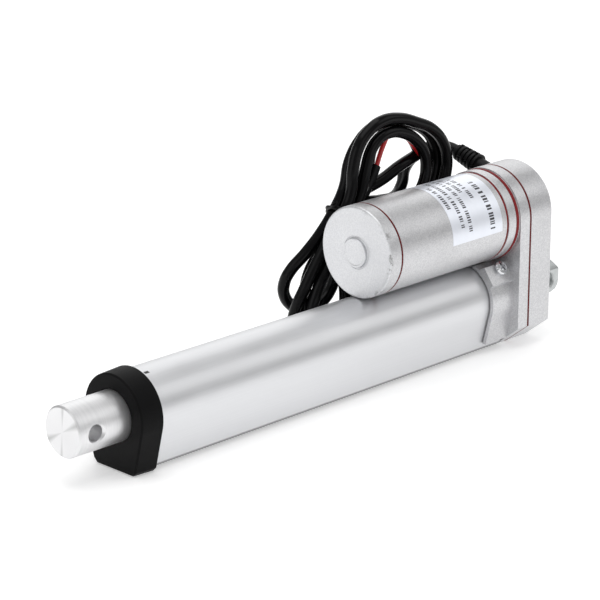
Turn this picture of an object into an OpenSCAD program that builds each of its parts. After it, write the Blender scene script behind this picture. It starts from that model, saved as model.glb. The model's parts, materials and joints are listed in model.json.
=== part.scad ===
// Twelve-volt linear actuator: a ball-borne lead screw pushes a round rod out of a
// square-bottomed tube, driven through a two-stage spur train by a motor that lies on top.
// Origin: centre of the rear fixing hole, on the rod's axis. +X is the way the rod extends,
// +Z is up towards the motor.

/* [Travel] */
// How far the rod travels
stroke = 150; // [100:10:200]
// Rear fixing hole to front fixing hole, less the stroke
dead_length = 105; // [105:1:115]
// Travel of the rod for one turn of the screw
lead = 3; // [2:1:4]

/* [Rod and fixings] */
// Diameter of the rod
rod_d = 20; // [18:0.5:20]
// Diameter of the two fixing holes
pin_d = 6.4; // [5:0.1:6.6]
// Width of the rear fork
fork_w = 20; // [18:1:22]
// Width of the fork's slot
slot_w = 12; // [10:1:13]

/* [Tube] */
// Radius of the tube's round top
tube_r = 15.1; // [15:0.1:15.5]
// Radius of the tube's round bore
bore_r = 13.2; // [13:0.1:13.4]
// Depth of the tube's flat bottom below the rod's axis
tube_bottom = 20.7; // [20.5:0.1:21]

/* [Motor] */
// Radius of the motor's painted sleeve
sleeve_r = 18.9; // [18.7:0.1:19.2]
// Length of the painted sleeve
sleeve_len = 63.2; // [60:0.2:68]

/* [Gearbox] */
// Half the gearbox's width, and the radius of its round top
box_r = 19.7; // [19.6:0.1:20]
// Wall of the gearbox's cover
wall = 2.4; // [2:0.1:2.6]
// Thickness of the two red gaskets at the ends of the motor's sleeve
gasket = 0.8; // [0.6:0.1:1]
// Thickness of the red gasket between the gearbox's halves
cover_gasket_t = 1.1; // [0.8:0.1:1.2]

/* [Gears] */
// Gear module
gear_module = 0.7; // [0.7:0.1:0.7]
// Teeth on the motor pinion
pinion_teeth = 11; // [11:1:11]
// Teeth on each large gear
wheel_teeth = 37; // [37:1:37]
// Teeth on the idler's small gear
idler_teeth = 13; // [13:1:13]

/* [Cable] */
// Diameter of the cable
cable_d = 5; // [4:0.2:6]
// Thickness of the tied hank, front to back
hank_depth = 11; // [10:0.5:12]

/* [Hidden] */
$fn = 96;

// Shared clearances
fit = 0.05;          // parts that slide or turn in each other
loose = 0.2;         // parts that only stand near each other
beyond = 1;          // how far a cut runs past the face it opens

// Places along the rod's axis, from the rear
rod_r = rod_d / 2;
pin_r = pin_d / 2;
cover_rear = 10.4;
cover_front = 25.7 - cover_gasket_t;
cover_floor = cover_rear + 2.8;
flange_rear = cover_front + cover_gasket_t;
plate_rear = flange_rear + 1.3;
flange_front = 31.6;
pad_front = flange_front + 0.8;
tube_rear = flange_front + 1;
socket_front = 44.8;
plate_front = pad_front + 1.5;
motor_ring_front = plate_front + 4.6;
sleeve_rear = motor_ring_front + gasket;
sleeve_front = sleeve_rear + sleeve_len;
end_cap_rear = sleeve_front + gasket;
end_cap_front = end_cap_rear + 6.3;
nut_rear = 45;
nut_front = nut_rear + 20;
rod_seat = nut_rear + 12;
front_hole = dead_length + stroke;
rod_tip = front_hole + 8.1;
rod_joint = front_hole - 19;
cap_front = front_hole - 16.1;
cap_rear = cap_front - 10.1;
tube_front = cap_front - 2.5;
front_stop = nut_front + stroke;
screw_tip = front_stop + 5;

// Bearing: 8 x 22 x 7 mm, seven balls
bearing_rear = 28.6;
bearing_front = bearing_rear + 7;
bearing_mid = (bearing_rear + bearing_front) / 2;
race_r = 7.5;
ball_r = 1.985;
ball_count = 7;

// Gear train on one upright line
pressure_angle = 25;
backlash = 0.1;
pinion_pitch_r = gear_module * pinion_teeth / 2;
wheel_pitch_r = gear_module * wheel_teeth / 2;
idler_pitch_r = gear_module * idler_teeth / 2;
idler_z = wheel_pitch_r + idler_pitch_r;
motor_z = idler_z + wheel_pitch_r + pinion_pitch_r;
half_tooth = 180 / wheel_teeth;
slow_rear = 15.2;    // the screw gear's plane
slow_front = 19.8;
fast_rear = 21.2;    // the pinion's plane
fast_front = 25.2;
idler_bore_r = 2.55;
shaft_r = 2;
plate_r = 19.4;      // the motor's front plate

// Tube section: round top, sides that lean in, flat bottom
side_slope = 0.25;
lean = atan(side_slope);
channel_half = 7.6;
channel_bottom = 18.6;
floor_z = -21.6;
socket_foot = -17.2;  // the socket is open below this height

// Gearbox section
knee_z = -12.1;
foot_y = 7.6;
knee_turn = atan2(box_r - foot_y, knee_z - floor_z);

// Screws
cover_screw_at = [[14.3, 33.4], [-14.3, 33.4], [14.6, -9.2], [-14.6, -9.2], [0, 50.5]];
motor_screw_at = [[7.8, motor_z + 7.8], [-7.8, motor_z + 7.8]];
motor_lead_at = [-2.4, 46.4];
switch_lead_at = [-3.8, -15.7];
lead_hole_r = 2;
clevis_screw_at = [[8, 5.5], [-8, 5.5], [8, -5.5], [-8, -5.5]];
m3 = 1.5;
boss_r = 3.1;
boss_tilt = 35;      // the socket's screw pads face this far above level
pad_offset = 18.94;  // pad face from the tube's axis
tube_screw_x = 36.6;
tube_screw_up = 4.1; // along the pad, from the line through the tube's axis

// Cable: gland, free stretch, hank of turns standing on its lower loop, bare leads
gland_x = 17.5;
gland_root = [gland_x, -10, 47.9];
gland_rise = 17.5;   // degrees above level, leaving towards -Y
gland_depth = 5.6;   // how far it reaches in past its root
hank_front = -20.6;
floor_loops_depth = 20.8;      // the lower loops stand side by side
upper_loops = [[46.5, 49.5, 22.3], [65.3, 56.4, 22.6]];
waist = [88, 36.8, 10.4];
lower_loops = [[96, 12, 18], [96.2, floor_z + 18, 18]];
lead_d = 2.1;
cable_route = [
    [17.5, -28.4, 53.7], [18.5, -32.7, 54.7], [21, -36.3, 55], [24.9, -38.7, 54.4], [31.3, -39.5, 52.4],
    [36, -38.7, 50.7], [40.7, -37, 48.8], [45.2, -34.4, 46.4], [49, -31.4, 44.1]
];
red_route = [[45.6, -25.4, 56.6], [49, -25.6, 60.2], [53, -26.2, 64.4], [58, -26.6, 67.6], [63, -26.4, 67.4],
    [67, -26, 63.6], [69, -25.8, 59.6], [70, -25.8, 57]];
black_route = [[45.2, -27.2, 57.4], [48.4, -27.6, 61.6], [52.6, -28.2, 66.4], [58, -28.6, 69.8], [64, -28.4, 69],
    [68.4, -27.8, 64.4], [70.4, -27.4, 60], [71.2, -27.2, 57.4]];
function in_gland(t, up) = gland_root + t * [0, -cos(gland_rise), sin(gland_rise)]
    + up * [0, sin(gland_rise), cos(gland_rise)];
motor_lead_route = concat([in_gland(-0.8, 0.6), in_gland(-4, 0.6), in_gland(-7.2, 0.6)],
    [[20, -1.9, 46.2], [24, -2.1, 46.4], [27, -2.4, 46.4], [33, -2.4, 46.4], [39, -2.4, 46.4]]);
switch_lead_route = concat([in_gland(-0.8, -0.6), in_gland(-4, -0.6), in_gland(-6.9, -0.6)],
    [[17.8, -3.4, 42.4], [18.2, -6, 38.6], [18.5, -8.9, 34], [18.6, -10.8, 29.4], [18.8, -14, 24.4], [19.6, -15.6, 18],
    [21.6, -15.8, 12], [23.2, -15.4, 6], [23.6, -13.4, 1], [24, -10.2, -4], [24.6, -7.2, -9], [25.6, -5, -13.2],
    [27, -4.1, -15.4], [29.6, -3.8, -15.7], [33, -3.8, -15.7], [36, -3.8, -16.1], [38.1, -3.8, -16.85]]);

/* Placing helpers: a sketch drawn in x,y stands in the Y,Z plane and grows along +X */
module along_x(x) {
    translate([x, 0, 0])
        rotate([90, 0, 90])
            children();
}

module rod_x(x0, x1, r) {
    along_x(x0)
        cylinder(h = x1 - x0, r = r);
}

module ring_x(x0, x1, r_out, r_in) {
    difference() {
        rod_x(x0, x1, r_out);
        rod_x(x0 - beyond, x1 + beyond, r_in);
    }
}

module sheet_x(x0, x1) {
    along_x(x0)
        linear_extrude(height = x1 - x0)
            children();
}

module on_motor_axis() {
    translate([0, 0, motor_z])
        children();
}

module at_yz(places) {
    for (p = places)
        translate([0, p[0], p[1]])
            children();
}

/* A pan-head or flat-head screw along +X, its head's bearing face at x */
module pan_screw_x(x, shank, r, head_r, head_h) {
    difference() {
        union() {
            rod_x(x - head_h / 3, x + shank, r);
            rod_x(x - head_h, x, head_r);
        }
        for (turn = [0, 90])
            translate([x - head_h - beyond, 0, 0])
                rotate([turn, 0, 0])
                    translate([0, -head_r * 0.6, -0.35])
                        cube([beyond + head_h * 0.55, head_r * 1.2, 0.7]);
    }
}

/* The part of a circle above a level line */
module round_top(r, level) {
    intersection() {
        circle(r);
        translate([-2 * r, level])
            square([4 * r, 4 * r]);
    }
}

/* The tube's outside from x0 to x1, grown outwards by grow, with its flat bottom at -bottom */
module tube_block(x0, x1, grow, bottom) {
    r = tube_r + grow;
    shoulder_y = (r - 0.01) * cos(lean);
    shoulder_z = (0.01 - r) * sin(lean);
    foot = shoulder_y - (bottom + shoulder_z) * side_slope;
    rod_x(x0, x1, r);
    sheet_x(x0, x1)
        polygon([[shoulder_y, shoulder_z], [foot + side_slope * 1.6, -bottom + 1.6], [foot - 1.3, -bottom],
            [-foot + 1.3, -bottom], [-foot - side_slope * 1.6, -bottom + 1.6], [-shoulder_y, shoulder_z],
            [-0.8 * shoulder_y, 0], [0.8 * shoulder_y, 0]]);
}

/* Gearbox section drawn inwards by inset */
module box_section(inset) {
    side = box_r - inset;
    knee = knee_z + inset * tan(knee_turn / 2);
    foot = foot_y - inset * tan((90 - knee_turn) / 2);
    translate([0, motor_z])
        round_top(side, 0);
    polygon([[side, motor_z], [side, knee], [foot, floor_z + inset], [-foot, floor_z + inset],
        [-side, knee], [-side, motor_z], [-0.9 * side, motor_z + 4], [0.9 * side, motor_z + 4]]);
}

/* Spur gear sketch with a tooth on the +x line, turned by phase */
function involute(a) = tan(a) * 180 / PI - a;
function half_thickness(r, r_pitch) =
    45 * (1 - backlash / (PI * gear_module)) * gear_module / r_pitch
    + involute(pressure_angle) - involute(acos(min(1, r_pitch * cos(pressure_angle) / r)));
function polar(r, a) = [r * cos(a), r * sin(a)];

module gear_section(teeth, phase) {
    r_pitch = gear_module * teeth / 2;
    r_tip = r_pitch + 0.8 * gear_module;
    r_root = r_pitch - 1.05 * gear_module;
    r_foot = max(r_root, r_pitch * cos(pressure_angle));
    steps = 3;
    pitch = 360 / teeth;
    rotate(phase)
        polygon([for (tooth = [0 : teeth - 1]) for (p = concat(
            [polar(r_root, tooth * pitch - half_thickness(r_foot, r_pitch))],
            [for (k = [0 : steps]) let (r = r_foot + (r_tip - r_foot) * k / steps)
                polar(r, tooth * pitch - half_thickness(r, r_pitch))],
            [for (k = [steps : -1 : 0]) let (r = r_foot + (r_tip - r_foot) * k / steps)
                polar(r, tooth * pitch + half_thickness(r, r_pitch))],
            [polar(r_root, tooth * pitch + half_thickness(r_foot, r_pitch))])) p]);
}

/* Round tube swept along points by rings that stand square to the route */
function unit(v) = v / norm(v);
function heading(path, i) = unit(path[min(i + 1, len(path) - 1)] - path[max(i - 1, 0)]);
function ring_at(path, i, r, sides) =
    let (t = heading(path, i), side = unit(cross(t, [0.13, 0.21, 0.97])), up = cross(t, side))
    [for (k = [0 : sides - 1]) path[i] + r * (side * cos(k * 360 / sides) + up * sin(k * 360 / sides))];

function beside(path, gap) =
    [for (i = [0 : len(path) - 1]) path[i] + gap * unit(cross(heading(path, i), [0.13, 0.21, 0.97]))];

module swept(path, d, sides = 8) {
    n = len(path);
    walls = [for (i = [0 : n - 2]) for (k = [0 : sides - 1]) let (j = (k + 1) % sides)
        for (f = [[i * sides + k, i * sides + j, (i + 1) * sides + k],
            [i * sides + j, (i + 1) * sides + j, (i + 1) * sides + k]]) f];
    polyhedron(
        points = [for (i = [0 : n - 1]) for (p = ring_at(path, i, d / 2, sides)) p],
        faces = concat([[for (k = [sides - 1 : -1 : 0]) k]], walls, [[for (k = [0 : sides - 1]) (n - 1) * sides + k]]));
}

/* Rear fixing */
/* A side view's outline in X and Z, as wide as the fork */
module fork_slab(outline) {
    translate([0, fork_w / 2, 0])
        rotate([90, 0, 0])
            linear_extrude(height = fork_w)
                polygon(outline);
}

module rear_clevis() {
    color("silver")
        difference() {
            union() {
                fork_slab([[cover_rear, -9], [4, -9], [4, 9.8], [cover_rear, 9.8]]);
                intersection() {
                    fork_slab([[5, -9], [3.6, -9], [0.8, -6.2], [-2.2, -5.8], [-4.4, -4.6], [-5.9, -2.8], [-6.4, -0.8],
                        [-6.4, 4.4], [-2.6, 9.8], [5, 9.8]]);
                    rod_x(-7, 5, 10.9);
                }
            }
            translate([-20, -slot_w / 2, -20])
                cube([26.2, slot_w, 40]);
            rotate([90, 0, 0])
                cylinder(h = fork_w + 2 * beyond, r = pin_r, center = true);
            both_sides()
                translate([0, fork_w / 2 + fit, 0])
                    rotate([90, 0, 0])
                        cylinder(h = 0.6 + fit, r1 = pin_r + 0.6 + fit, r2 = pin_r);
            at_yz(clevis_screw_at)
                rod_x(4.4, cover_rear + beyond, m3 + fit / 2);
        }
}

module clevis_screws() {
    color("dimgray")
        at_yz(clevis_screw_at)
            along_x(0)
                rotate_extrude()
                    polygon([[0, 4.6], [m3, 4.6], [m3, 11.7], [2.9, cover_floor], [1, cover_floor], [1, 12.4], [0, 12.4]]);
}

/* Gearbox shells */
module cover_screw_bosses(x0, x1) {
    at_yz(cover_screw_at)
        rod_x(x0, x1, boss_r);
}

module gearbox_cover() {
    color("lightgray")
        difference() {
            union() {
                difference() {
                    union() {
                        sheet_x(cover_rear + 1.4, cover_front)
                            box_section(0);
                        hull() {
                            sheet_x(cover_rear + 1.4, cover_rear + 1.5)
                                box_section(0);
                            sheet_x(cover_rear, cover_rear + 0.1)
                                box_section(1);
                        }
                    }
                    sheet_x(cover_floor, cover_front + beyond)
                        box_section(wall);
                }
                intersection() {
                    cover_screw_bosses(cover_floor - fit, cover_front);
                    sheet_x(cover_floor - beyond, cover_front)
                        box_section(1);
                }
                rod_x(cover_floor - fit, 14.4, 6.6);
                translate([0, 0, idler_z])
                    rod_x(cover_floor - fit, 14.4, 4.6);
            }
            rod_x(11.6, 14.4 + beyond, 4.5);
            translate([0, 0, idler_z])
                rod_x(11.6, 14.4 + beyond, 2.5 + fit / 2);
            at_yz(cover_screw_at) {
                rod_x(cover_rear - beyond, 12.6, 3.2);
                rod_x(12, cover_front + beyond, m3 + fit);
            }
            at_yz(clevis_screw_at)
                along_x(0)
                    rotate_extrude()
                        polygon([[0, cover_rear - beyond], [m3 + fit, cover_rear - beyond], [m3 + fit, 11.7],
                            [2.95, cover_floor], [2.95, cover_floor + beyond], [0, cover_floor + beyond]]);
            at_gland()
                translate([0, 0, 2 - gland_depth])
                    cylinder(h = 14, r = 3.6);
        }
}

module cover_screws() {
    color("silver")
        at_yz(cover_screw_at)
            pan_screw_x(12.6, 16.4, m3, 2.9, 1.9);
}

module cover_gasket() {
    color([0.55, 0.08, 0.08])
        difference() {
            union() {
                sheet_x(cover_front, flange_rear)
                    difference() {
                        box_section(0);
                        box_section(wall);
                    }
                intersection() {
                    cover_screw_bosses(cover_front, flange_rear);
                    sheet_x(cover_front - beyond, flange_rear + beyond)
                        box_section(1);
                }
            }
            at_yz(cover_screw_at)
                rod_x(cover_front - beyond, flange_rear + beyond, m3 + loose);
        }
}

module pad_axis() {
    translate([tube_screw_x, 0, 0])
        rotate([boss_tilt, 0, 0])
            translate([0, 0, tube_screw_up])
                rotate([-90, 0, 0])
                    children();
}

module both_sides() {
    children();
    mirror([0, 1, 0])
        children();
}

module gearbox_housing() {
    color("lightgray")
        difference() {
            union() {
                difference() {
                    sheet_x(flange_rear, flange_front)
                        box_section(0);
                    difference() {
                        sheet_x(flange_rear - beyond, plate_rear)
                            box_section(wall);
                        cover_screw_bosses(flange_rear - 2 * beyond, plate_rear + beyond);
                        translate([0, 0, idler_z])
                            rod_x(flange_rear + 0.6, plate_rear + beyond, 4.6);
                    }
                }
                on_motor_axis()
                    rod_x(flange_front - fit, pad_front, 19.2);
                difference() {
                    tube_block(flange_front - fit, socket_front, 2, -floor_z);
                    sheet_x(flange_front - beyond, socket_front + beyond)
                        polygon([[tube_r, socket_foot], [-tube_r, socket_foot], [-tube_r, floor_z - beyond],
                            [tube_r, floor_z - beyond]]);
                }
                both_sides()
                    sheet_x(flange_front - fit, socket_front)
                        polygon([[11.8, 16], [16.6, 9.3], [15.6, 8], [9, 6], [6, 13]]);
            }
            difference() {
                tube_block(tube_rear, socket_front + beyond, fit, tube_bottom + fit);
                rod_x(tube_rear - beyond, bearing_front + 1.8, bore_r - fit);
            }
            tube_block(socket_front - 0.9, socket_front + beyond, 0.5, tube_bottom + 0.5);
            rod_x(bearing_rear, bearing_front + 1.8 + beyond, 11);
            rod_x(bearing_front, bearing_front + 1.05, 11.6);
            rod_x(plate_rear - beyond, bearing_rear + fit, 7);
            on_motor_axis() {
                rod_x(plate_rear - beyond, pad_front + beyond, 6.55);
                rod_x(pad_front, socket_front + beyond, plate_r + loose);
            }
            translate([0, 0, idler_z])
                rod_x(flange_rear, bearing_rear, 2.5 + fit / 2);
            at_yz(cover_screw_at)
                rod_x(flange_rear - beyond, 29.4, m3 + fit / 2);
            at_yz(motor_screw_at)
                rod_x(plate_rear - beyond, pad_front + beyond, m3 + fit);
            at_yz([motor_lead_at])
                rod_x(plate_rear - beyond, pad_front + beyond, lead_hole_r);
            at_yz([switch_lead_at])
                rod_x(plate_rear - beyond, tube_rear + beyond, lead_hole_r);
            both_sides()
                pad_axis()
                    translate([0, 0, 10])
                        cylinder(h = 12, r = m3 + fit / 2);
            both_sides()
                translate([flange_front - 1.2, foot_y + 0.8, floor_z - beyond])
                    cube([1.2 + beyond, 1.6, 2.1 + beyond]);
        }
}

/* Screw supports */
module rear_bush() {
    color([0.72, 0.5, 0.25])
        ring_x(11.6, 14.4, 4.5, 3 + fit);
}

module idler_pin() {
    color("gray")
        translate([0, 0, idler_z])
            rod_x(11.7, bearing_rear - 0.1, 2.5);
}

module thrust_washers() {
    color("gray")
        translate([0, 0, idler_z]) {
            ring_x(14.4, slow_rear - fit, 4.2, 2.5 + fit / 2);
            ring_x(fast_front + fit, flange_rear + 0.6, 4.2, 2.5 + fit / 2);
        }
}

module bearing_outer_ring() {
    color("silver")
        along_x(bearing_rear)
            difference() {
                cylinder(h = 7, r = 11);
                translate([0, 0, -beyond])
                    cylinder(h = 7 + 2 * beyond, r = 9);
                translate([0, 0, 3.5])
                    rotate_extrude()
                        translate([race_r, 0])
                            circle(ball_r + 0.1);
            }
}

module bearing_inner_ring() {
    color("silver")
        along_x(bearing_rear)
            difference() {
                cylinder(h = 7, r = 6);
                translate([0, 0, -beyond])
                    cylinder(h = 7 + 2 * beyond, r = 4);
                translate([0, 0, 3.5])
                    rotate_extrude()
                        translate([race_r, 0])
                            circle(ball_r + 0.1);
            }
}

module at_balls() {
    for (i = [0 : ball_count - 1])
        translate([bearing_mid, 0, 0])
            rotate([i * 360 / ball_count, 0, 0])
                translate([0, race_r, 0])
                    children();
}

module bearing_balls() {
    color("gainsboro")
        at_balls()
            sphere(ball_r);
}

module bearing_cage() {
    color([0.72, 0.5, 0.25])
        difference() {
            ring_x(bearing_mid - 2.7, bearing_mid + 2.7, 7.9, 7.1);
            at_balls()
                rotate([90, 0, 0])
                    cylinder(h = 4, r = ball_r + fit, center = true);
        }
}

module bearing_retaining_ring() {
    color("dimgray")
        along_x(bearing_front + 0.02)
            rotate([0, 0, 110])
                rotate_extrude(angle = 320)
                    translate([9.4, 0])
                        square([2.1, 1]);
}

/* Tube, cap and what is inside them */
module outer_tube() {
    color("gainsboro")
        difference() {
            tube_block(tube_rear, tube_front, 0, tube_bottom);
            rod_x(tube_rear - beyond, tube_front + beyond, bore_r);
            sheet_x(tube_rear - beyond, tube_front + beyond)
                translate([-channel_half, -channel_bottom])
                    square([2 * channel_half, channel_bottom]);
            on_motor_axis()
                rod_x(tube_rear - beyond, sleeve_rear, plate_r + loose);
            both_sides()
                pad_axis()
                    translate([0, 0, 10])
                        cylinder(h = 12, r = m3 + fit / 2);
        }
}

module tube_screws() {
    color("silver")
        both_sides()
            pad_axis()
                difference() {
                    union() {
                        translate([0, 0, 12.2])
                            cylinder(h = pad_offset - 12.2 + 0.02, r = m3);
                        translate([0, 0, pad_offset])
                            rotate_extrude()
                                polygon([[0, 0], [3, 0], [3, 1.1], [2.6, 1.75], [1.5, 2.1], [0, 2.15]]);
                    }
                    for (turn = [20, 110])
                        rotate([0, 0, turn])
                            translate([-1.7, -0.35, pad_offset + 0.9])
                                cube([3.4, 0.7, 2]);
                }
}

module front_cap() {
    color([0.06, 0.06, 0.06])
        difference() {
            hull() {
                tube_block(cap_rear, cap_rear + 0.1, 1.5, -floor_z);
                tube_block(cap_front - 0.7, cap_front - 0.6, 1, -floor_z - 0.2);
                tube_block(cap_front - 0.1, cap_front, 0.5, -floor_z - 0.7);
            }
            tube_block(cap_rear - beyond, tube_front, fit, tube_bottom + fit);
            rod_x(tube_front - beyond, cap_front + beyond, rod_r + 0.3);
            rod_x(tube_front - beyond, tube_front + 1.5, rod_r + 2);
        }
}

module guide_bush() {
    color([0.85, 0.85, 0.8])
        ring_x(tube_front - 12, tube_front, bore_r - fit, rod_r + fit);
}

module rod_wiper_seal() {
    color([0.08, 0.08, 0.08])
        ring_x(tube_front, tube_front + 1.45, rod_r + 1.95, rod_r + 0.04);
}

module switch_board() {
    color([0.1, 0.35, 0.18])
        translate([38, -5, -channel_bottom])
            cube([front_stop + 9 - 38, 10, 1.2]);
}

module limit_switch(x, toward) {
    difference() {
        translate([x, -3, 1.2 - channel_bottom])
            cube([5.6, 6, 4.2]);
        translate([x + 2.8, -0.85, 3.2 - channel_bottom])
            translate([toward > 0 ? 0 : -4, 0, 0])
                cube([4, 1.7, 1.4]);
    }
}

module rear_limit_switch() {
    color([0.12, 0.12, 0.14])
        limit_switch(nut_rear - 6.8, 1);
}

module front_limit_switch() {
    color([0.12, 0.12, 0.14])
        limit_switch(front_stop + 1.2, -1);
}

module rear_switch_plunger() {
    color("ivory")
        translate([nut_rear - 3, -0.6, 3.45 - channel_bottom])
            cube([2.75, 1.2, 0.9]);
}

module front_switch_plunger() {
    color("ivory")
        translate([front_stop + 0.25, -0.6, 3.45 - channel_bottom])
            cube([2.75, 1.2, 0.9]);
}

module internal_leads() {
    color([0.1, 0.1, 0.5])
        for (side = [-1, 1], route = [motor_lead_route, switch_lead_route])
            swept(beside(route, side * 0.65), 1, 6);
}

/* Motor */
module motor_gasket() {
    color([0.55, 0.08, 0.08])
        difference() {
            on_motor_axis()
                ring_x(pad_front, plate_front, plate_r + 0.1, 6.55 + loose);
            at_yz(motor_screw_at)
                rod_x(pad_front - beyond, plate_front + beyond, m3 + loose);
            at_yz([motor_lead_at])
                rod_x(pad_front - beyond, plate_front + beyond, lead_hole_r);
        }
}

module motor_screws() {
    color("silver")
        at_yz(motor_screw_at)
            pan_screw_x(plate_rear, 10.4, m3, 2.7, 1.8);
}

module motor_front_plate() {
    color("lightgray")
        difference() {
            on_motor_axis()
                union() {
                    rod_x(plate_front, motor_ring_front, plate_r);
                    rod_x(30.6, plate_front + fit, 6.5);
                    rod_x(motor_ring_front - fit, motor_ring_front + 0.5, 16.1);
                }
            on_motor_axis() {
                rod_x(30.6 - beyond, motor_ring_front + beyond, 2.4);
                rod_x(31.6, motor_ring_front + beyond, 4.5);
            }
            at_yz(motor_screw_at)
                rod_x(plate_front - beyond, motor_ring_front + beyond, m3 + fit / 2);
            at_yz([motor_lead_at])
                rod_x(plate_front - beyond, motor_ring_front + beyond, lead_hole_r);
        }
}

module motor_front_bush() {
    color([0.72, 0.5, 0.25])
        on_motor_axis()
            ring_x(31.6, motor_ring_front + 0.4, 4.48, shaft_r + fit);
}

module sleeve_rear_gasket() {
    color([0.55, 0.08, 0.08])
        on_motor_axis()
            ring_x(motor_ring_front, sleeve_rear, sleeve_r, 17.9);
}

module sleeve_front_gasket() {
    color([0.55, 0.08, 0.08])
        on_motor_axis()
            ring_x(sleeve_front, end_cap_rear, sleeve_r, 17.9);
}

module motor_can() {
    color("gray")
        on_motor_axis()
            ring_x(motor_ring_front, end_cap_rear, 17.7, 16.2);
}

module motor_sleeve() {
    color("lightgray")
        on_motor_axis()
            ring_x(sleeve_rear, sleeve_front, sleeve_r, 18);
}

module rating_label() {
    color("whitesmoke")
        on_motor_axis()
            along_x(42.4)
                rotate([0, 0, -4])
                    rotate_extrude(angle = 135)
                        translate([sleeve_r, 0])
                            square([0.1, 30.4]);
}

module motor_magnets() {
    color([0.25, 0.25, 0.27])
        on_motor_axis()
            for (turn = [25, 205])
                along_x(52)
                    rotate([0, 0, turn])
                        rotate_extrude(angle = 130)
                            translate([13.6, 0])
                                square([2.55, 42]);
}

module brush_holder() {
    color([0.15, 0.1, 0.06])
        on_motor_axis() {
            ring_x(motor_ring_front + 0.6, motor_ring_front + 2.2, 16.1, 7.4);
            for (side = [0, 180])
                rotate([side, 0, 0])
                    difference() {
                        translate([motor_ring_front + 2.2, 7.4, -2.6])
                            cube([7.6, 5, 5.2]);
                        translate([motor_ring_front + 4, 7, -1.6])
                            cube([5.1, 6, 3.2]);
                    }
        }
}

module motor_brushes() {
    color([0.1, 0.1, 0.1])
        on_motor_axis()
            for (side = [0, 180])
                rotate([side, 0, 0])
                    translate([motor_ring_front + 4.05, 6.6, -1.55])
                        cube([5, 5, 3.1]);
}

module brush_springs() {
    color([0.75, 0.6, 0.3])
        on_motor_axis()
            for (side = [0, 180])
                rotate([side, 0, 0])
                    translate([motor_ring_front + 5, 0, 0])
                        rotate([90, 0, 90])
                            linear_extrude(height = 3)
                                polygon([[11.6, -1.5], [12.75, -1.5], [12.75, 2.6], [14.4, 6], [14.1, 6.2], [12.45, 2.8],
                                    [12.45, -1.2], [11.6, -1.2]]);
}

module motor_end_cap() {
    color("lightgray")
        on_motor_axis()
            difference() {
                along_x(0)
                    rotate_extrude()
                        polygon([[0, 99], [16.15, 99], [16.15, end_cap_rear], [sleeve_r, end_cap_rear],
                            [sleeve_r, end_cap_front - 0.7], [sleeve_r - 0.7, end_cap_front], [6.4, end_cap_front],
                            [6.1, end_cap_front + 0.3], [6.1, end_cap_front + 1], [5.7, end_cap_front + 1.4],
                            [0, end_cap_front + 1.4]]);
                rod_x(99 - beyond, 104.4, 4.5);
                rod_x(99, 107.4, 2.6);
                ring_x(99 - beyond, 102.4, 14.2, 7);
            }
}

module motor_rear_bush() {
    color([0.72, 0.5, 0.25])
        on_motor_axis()
            ring_x(99.4, 104.4, 4.48, shaft_r + fit);
}

module motor_shaft() {
    color("silver")
        on_motor_axis()
            rod_x(20.6, 106.4, shaft_r);
}

module motor_pinion() {
    color([0.8, 0.65, 0.3])
        on_motor_axis()
            difference() {
                sheet_x(20.8, 25.6)
                    gear_section(pinion_teeth, -90);
                rod_x(20, 26, shaft_r + fit / 5);
            }
}

module armature_core() {
    color([0.35, 0.35, 0.37])
        on_motor_axis()
            sheet_x(54, 92)
                difference() {
                    circle(12.9);
                    circle(shaft_r + fit / 5);
                    for (slot = [0 : 6])
                        rotate(slot * 360 / 7)
                            polygon([[13.5, -0.9], [11.6, -0.9], [10.8, -3.2], [6, -1.4], [6, 1.4], [10.8, 3.2],
                                [11.6, 0.9], [13.5, 0.9]]);
                }
}

module armature_windings() {
    color([0.72, 0.38, 0.18])
        on_motor_axis() {
            for (slot = [0 : 6])
                sheet_x(54 - fit, 92 + fit)
                    rotate(slot * 360 / 7)
                        polygon([[10.6, -3], [6.2, -1.3], [6.2, 1.3], [10.6, 3]]);
            for (x = [50.6, 92])
                along_x(x)
                    rotate_extrude()
                        polygon([[4, 0], [9.6, 0], [11.4, 1], [11.4, 2.6], [9.6, 3.4], [4, 3.4]]);
        }
}

module commutator() {
    color([0.72, 0.45, 0.25])
        on_motor_axis()
            union() {
                for (bar = [0 : 6])
                    sheet_x(42, 49.8)
                        rotate(bar * 360 / 7)
                            intersection() {
                                difference() {
                                    circle(6.5);
                                    circle(3.4);
                                }
                                polygon([[0, 0], polar(12, -25), polar(12, 25)]);
                            }
                ring_x(41.6, 50.4, 3.45, shaft_r + fit / 5);
            }
}

/* Turning parts of the gear train */
module idler_gear() {
    color([0.9, 0.88, 0.8])
        translate([0, 0, idler_z])
            difference() {
                union() {
                    sheet_x(fast_rear, fast_front)
                        gear_section(wheel_teeth, 90 + half_tooth);
                    sheet_x(slow_rear, fast_rear + fit)
                        gear_section(idler_teeth, -90);
                }
                rod_x(slow_rear - beyond, fast_front + beyond, idler_bore_r);
                ring_x(fast_front - 1, fast_front + beyond, 11, 5.2);
            }
}

module screw_gear() {
    color([0.9, 0.88, 0.8])
        difference() {
            sheet_x(slow_rear, slow_front)
                gear_section(wheel_teeth, 90 + half_tooth);
            rod_x(slow_rear - beyond, slow_front + beyond, 3.4 + fit / 5);
            for (hole = [0 : 5])
                rotate([hole * 60, 0, 0])
                    translate([0, 7.8, 0])
                        rod_x(slow_rear - beyond, slow_front + beyond, 1.9);
        }
}

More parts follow.
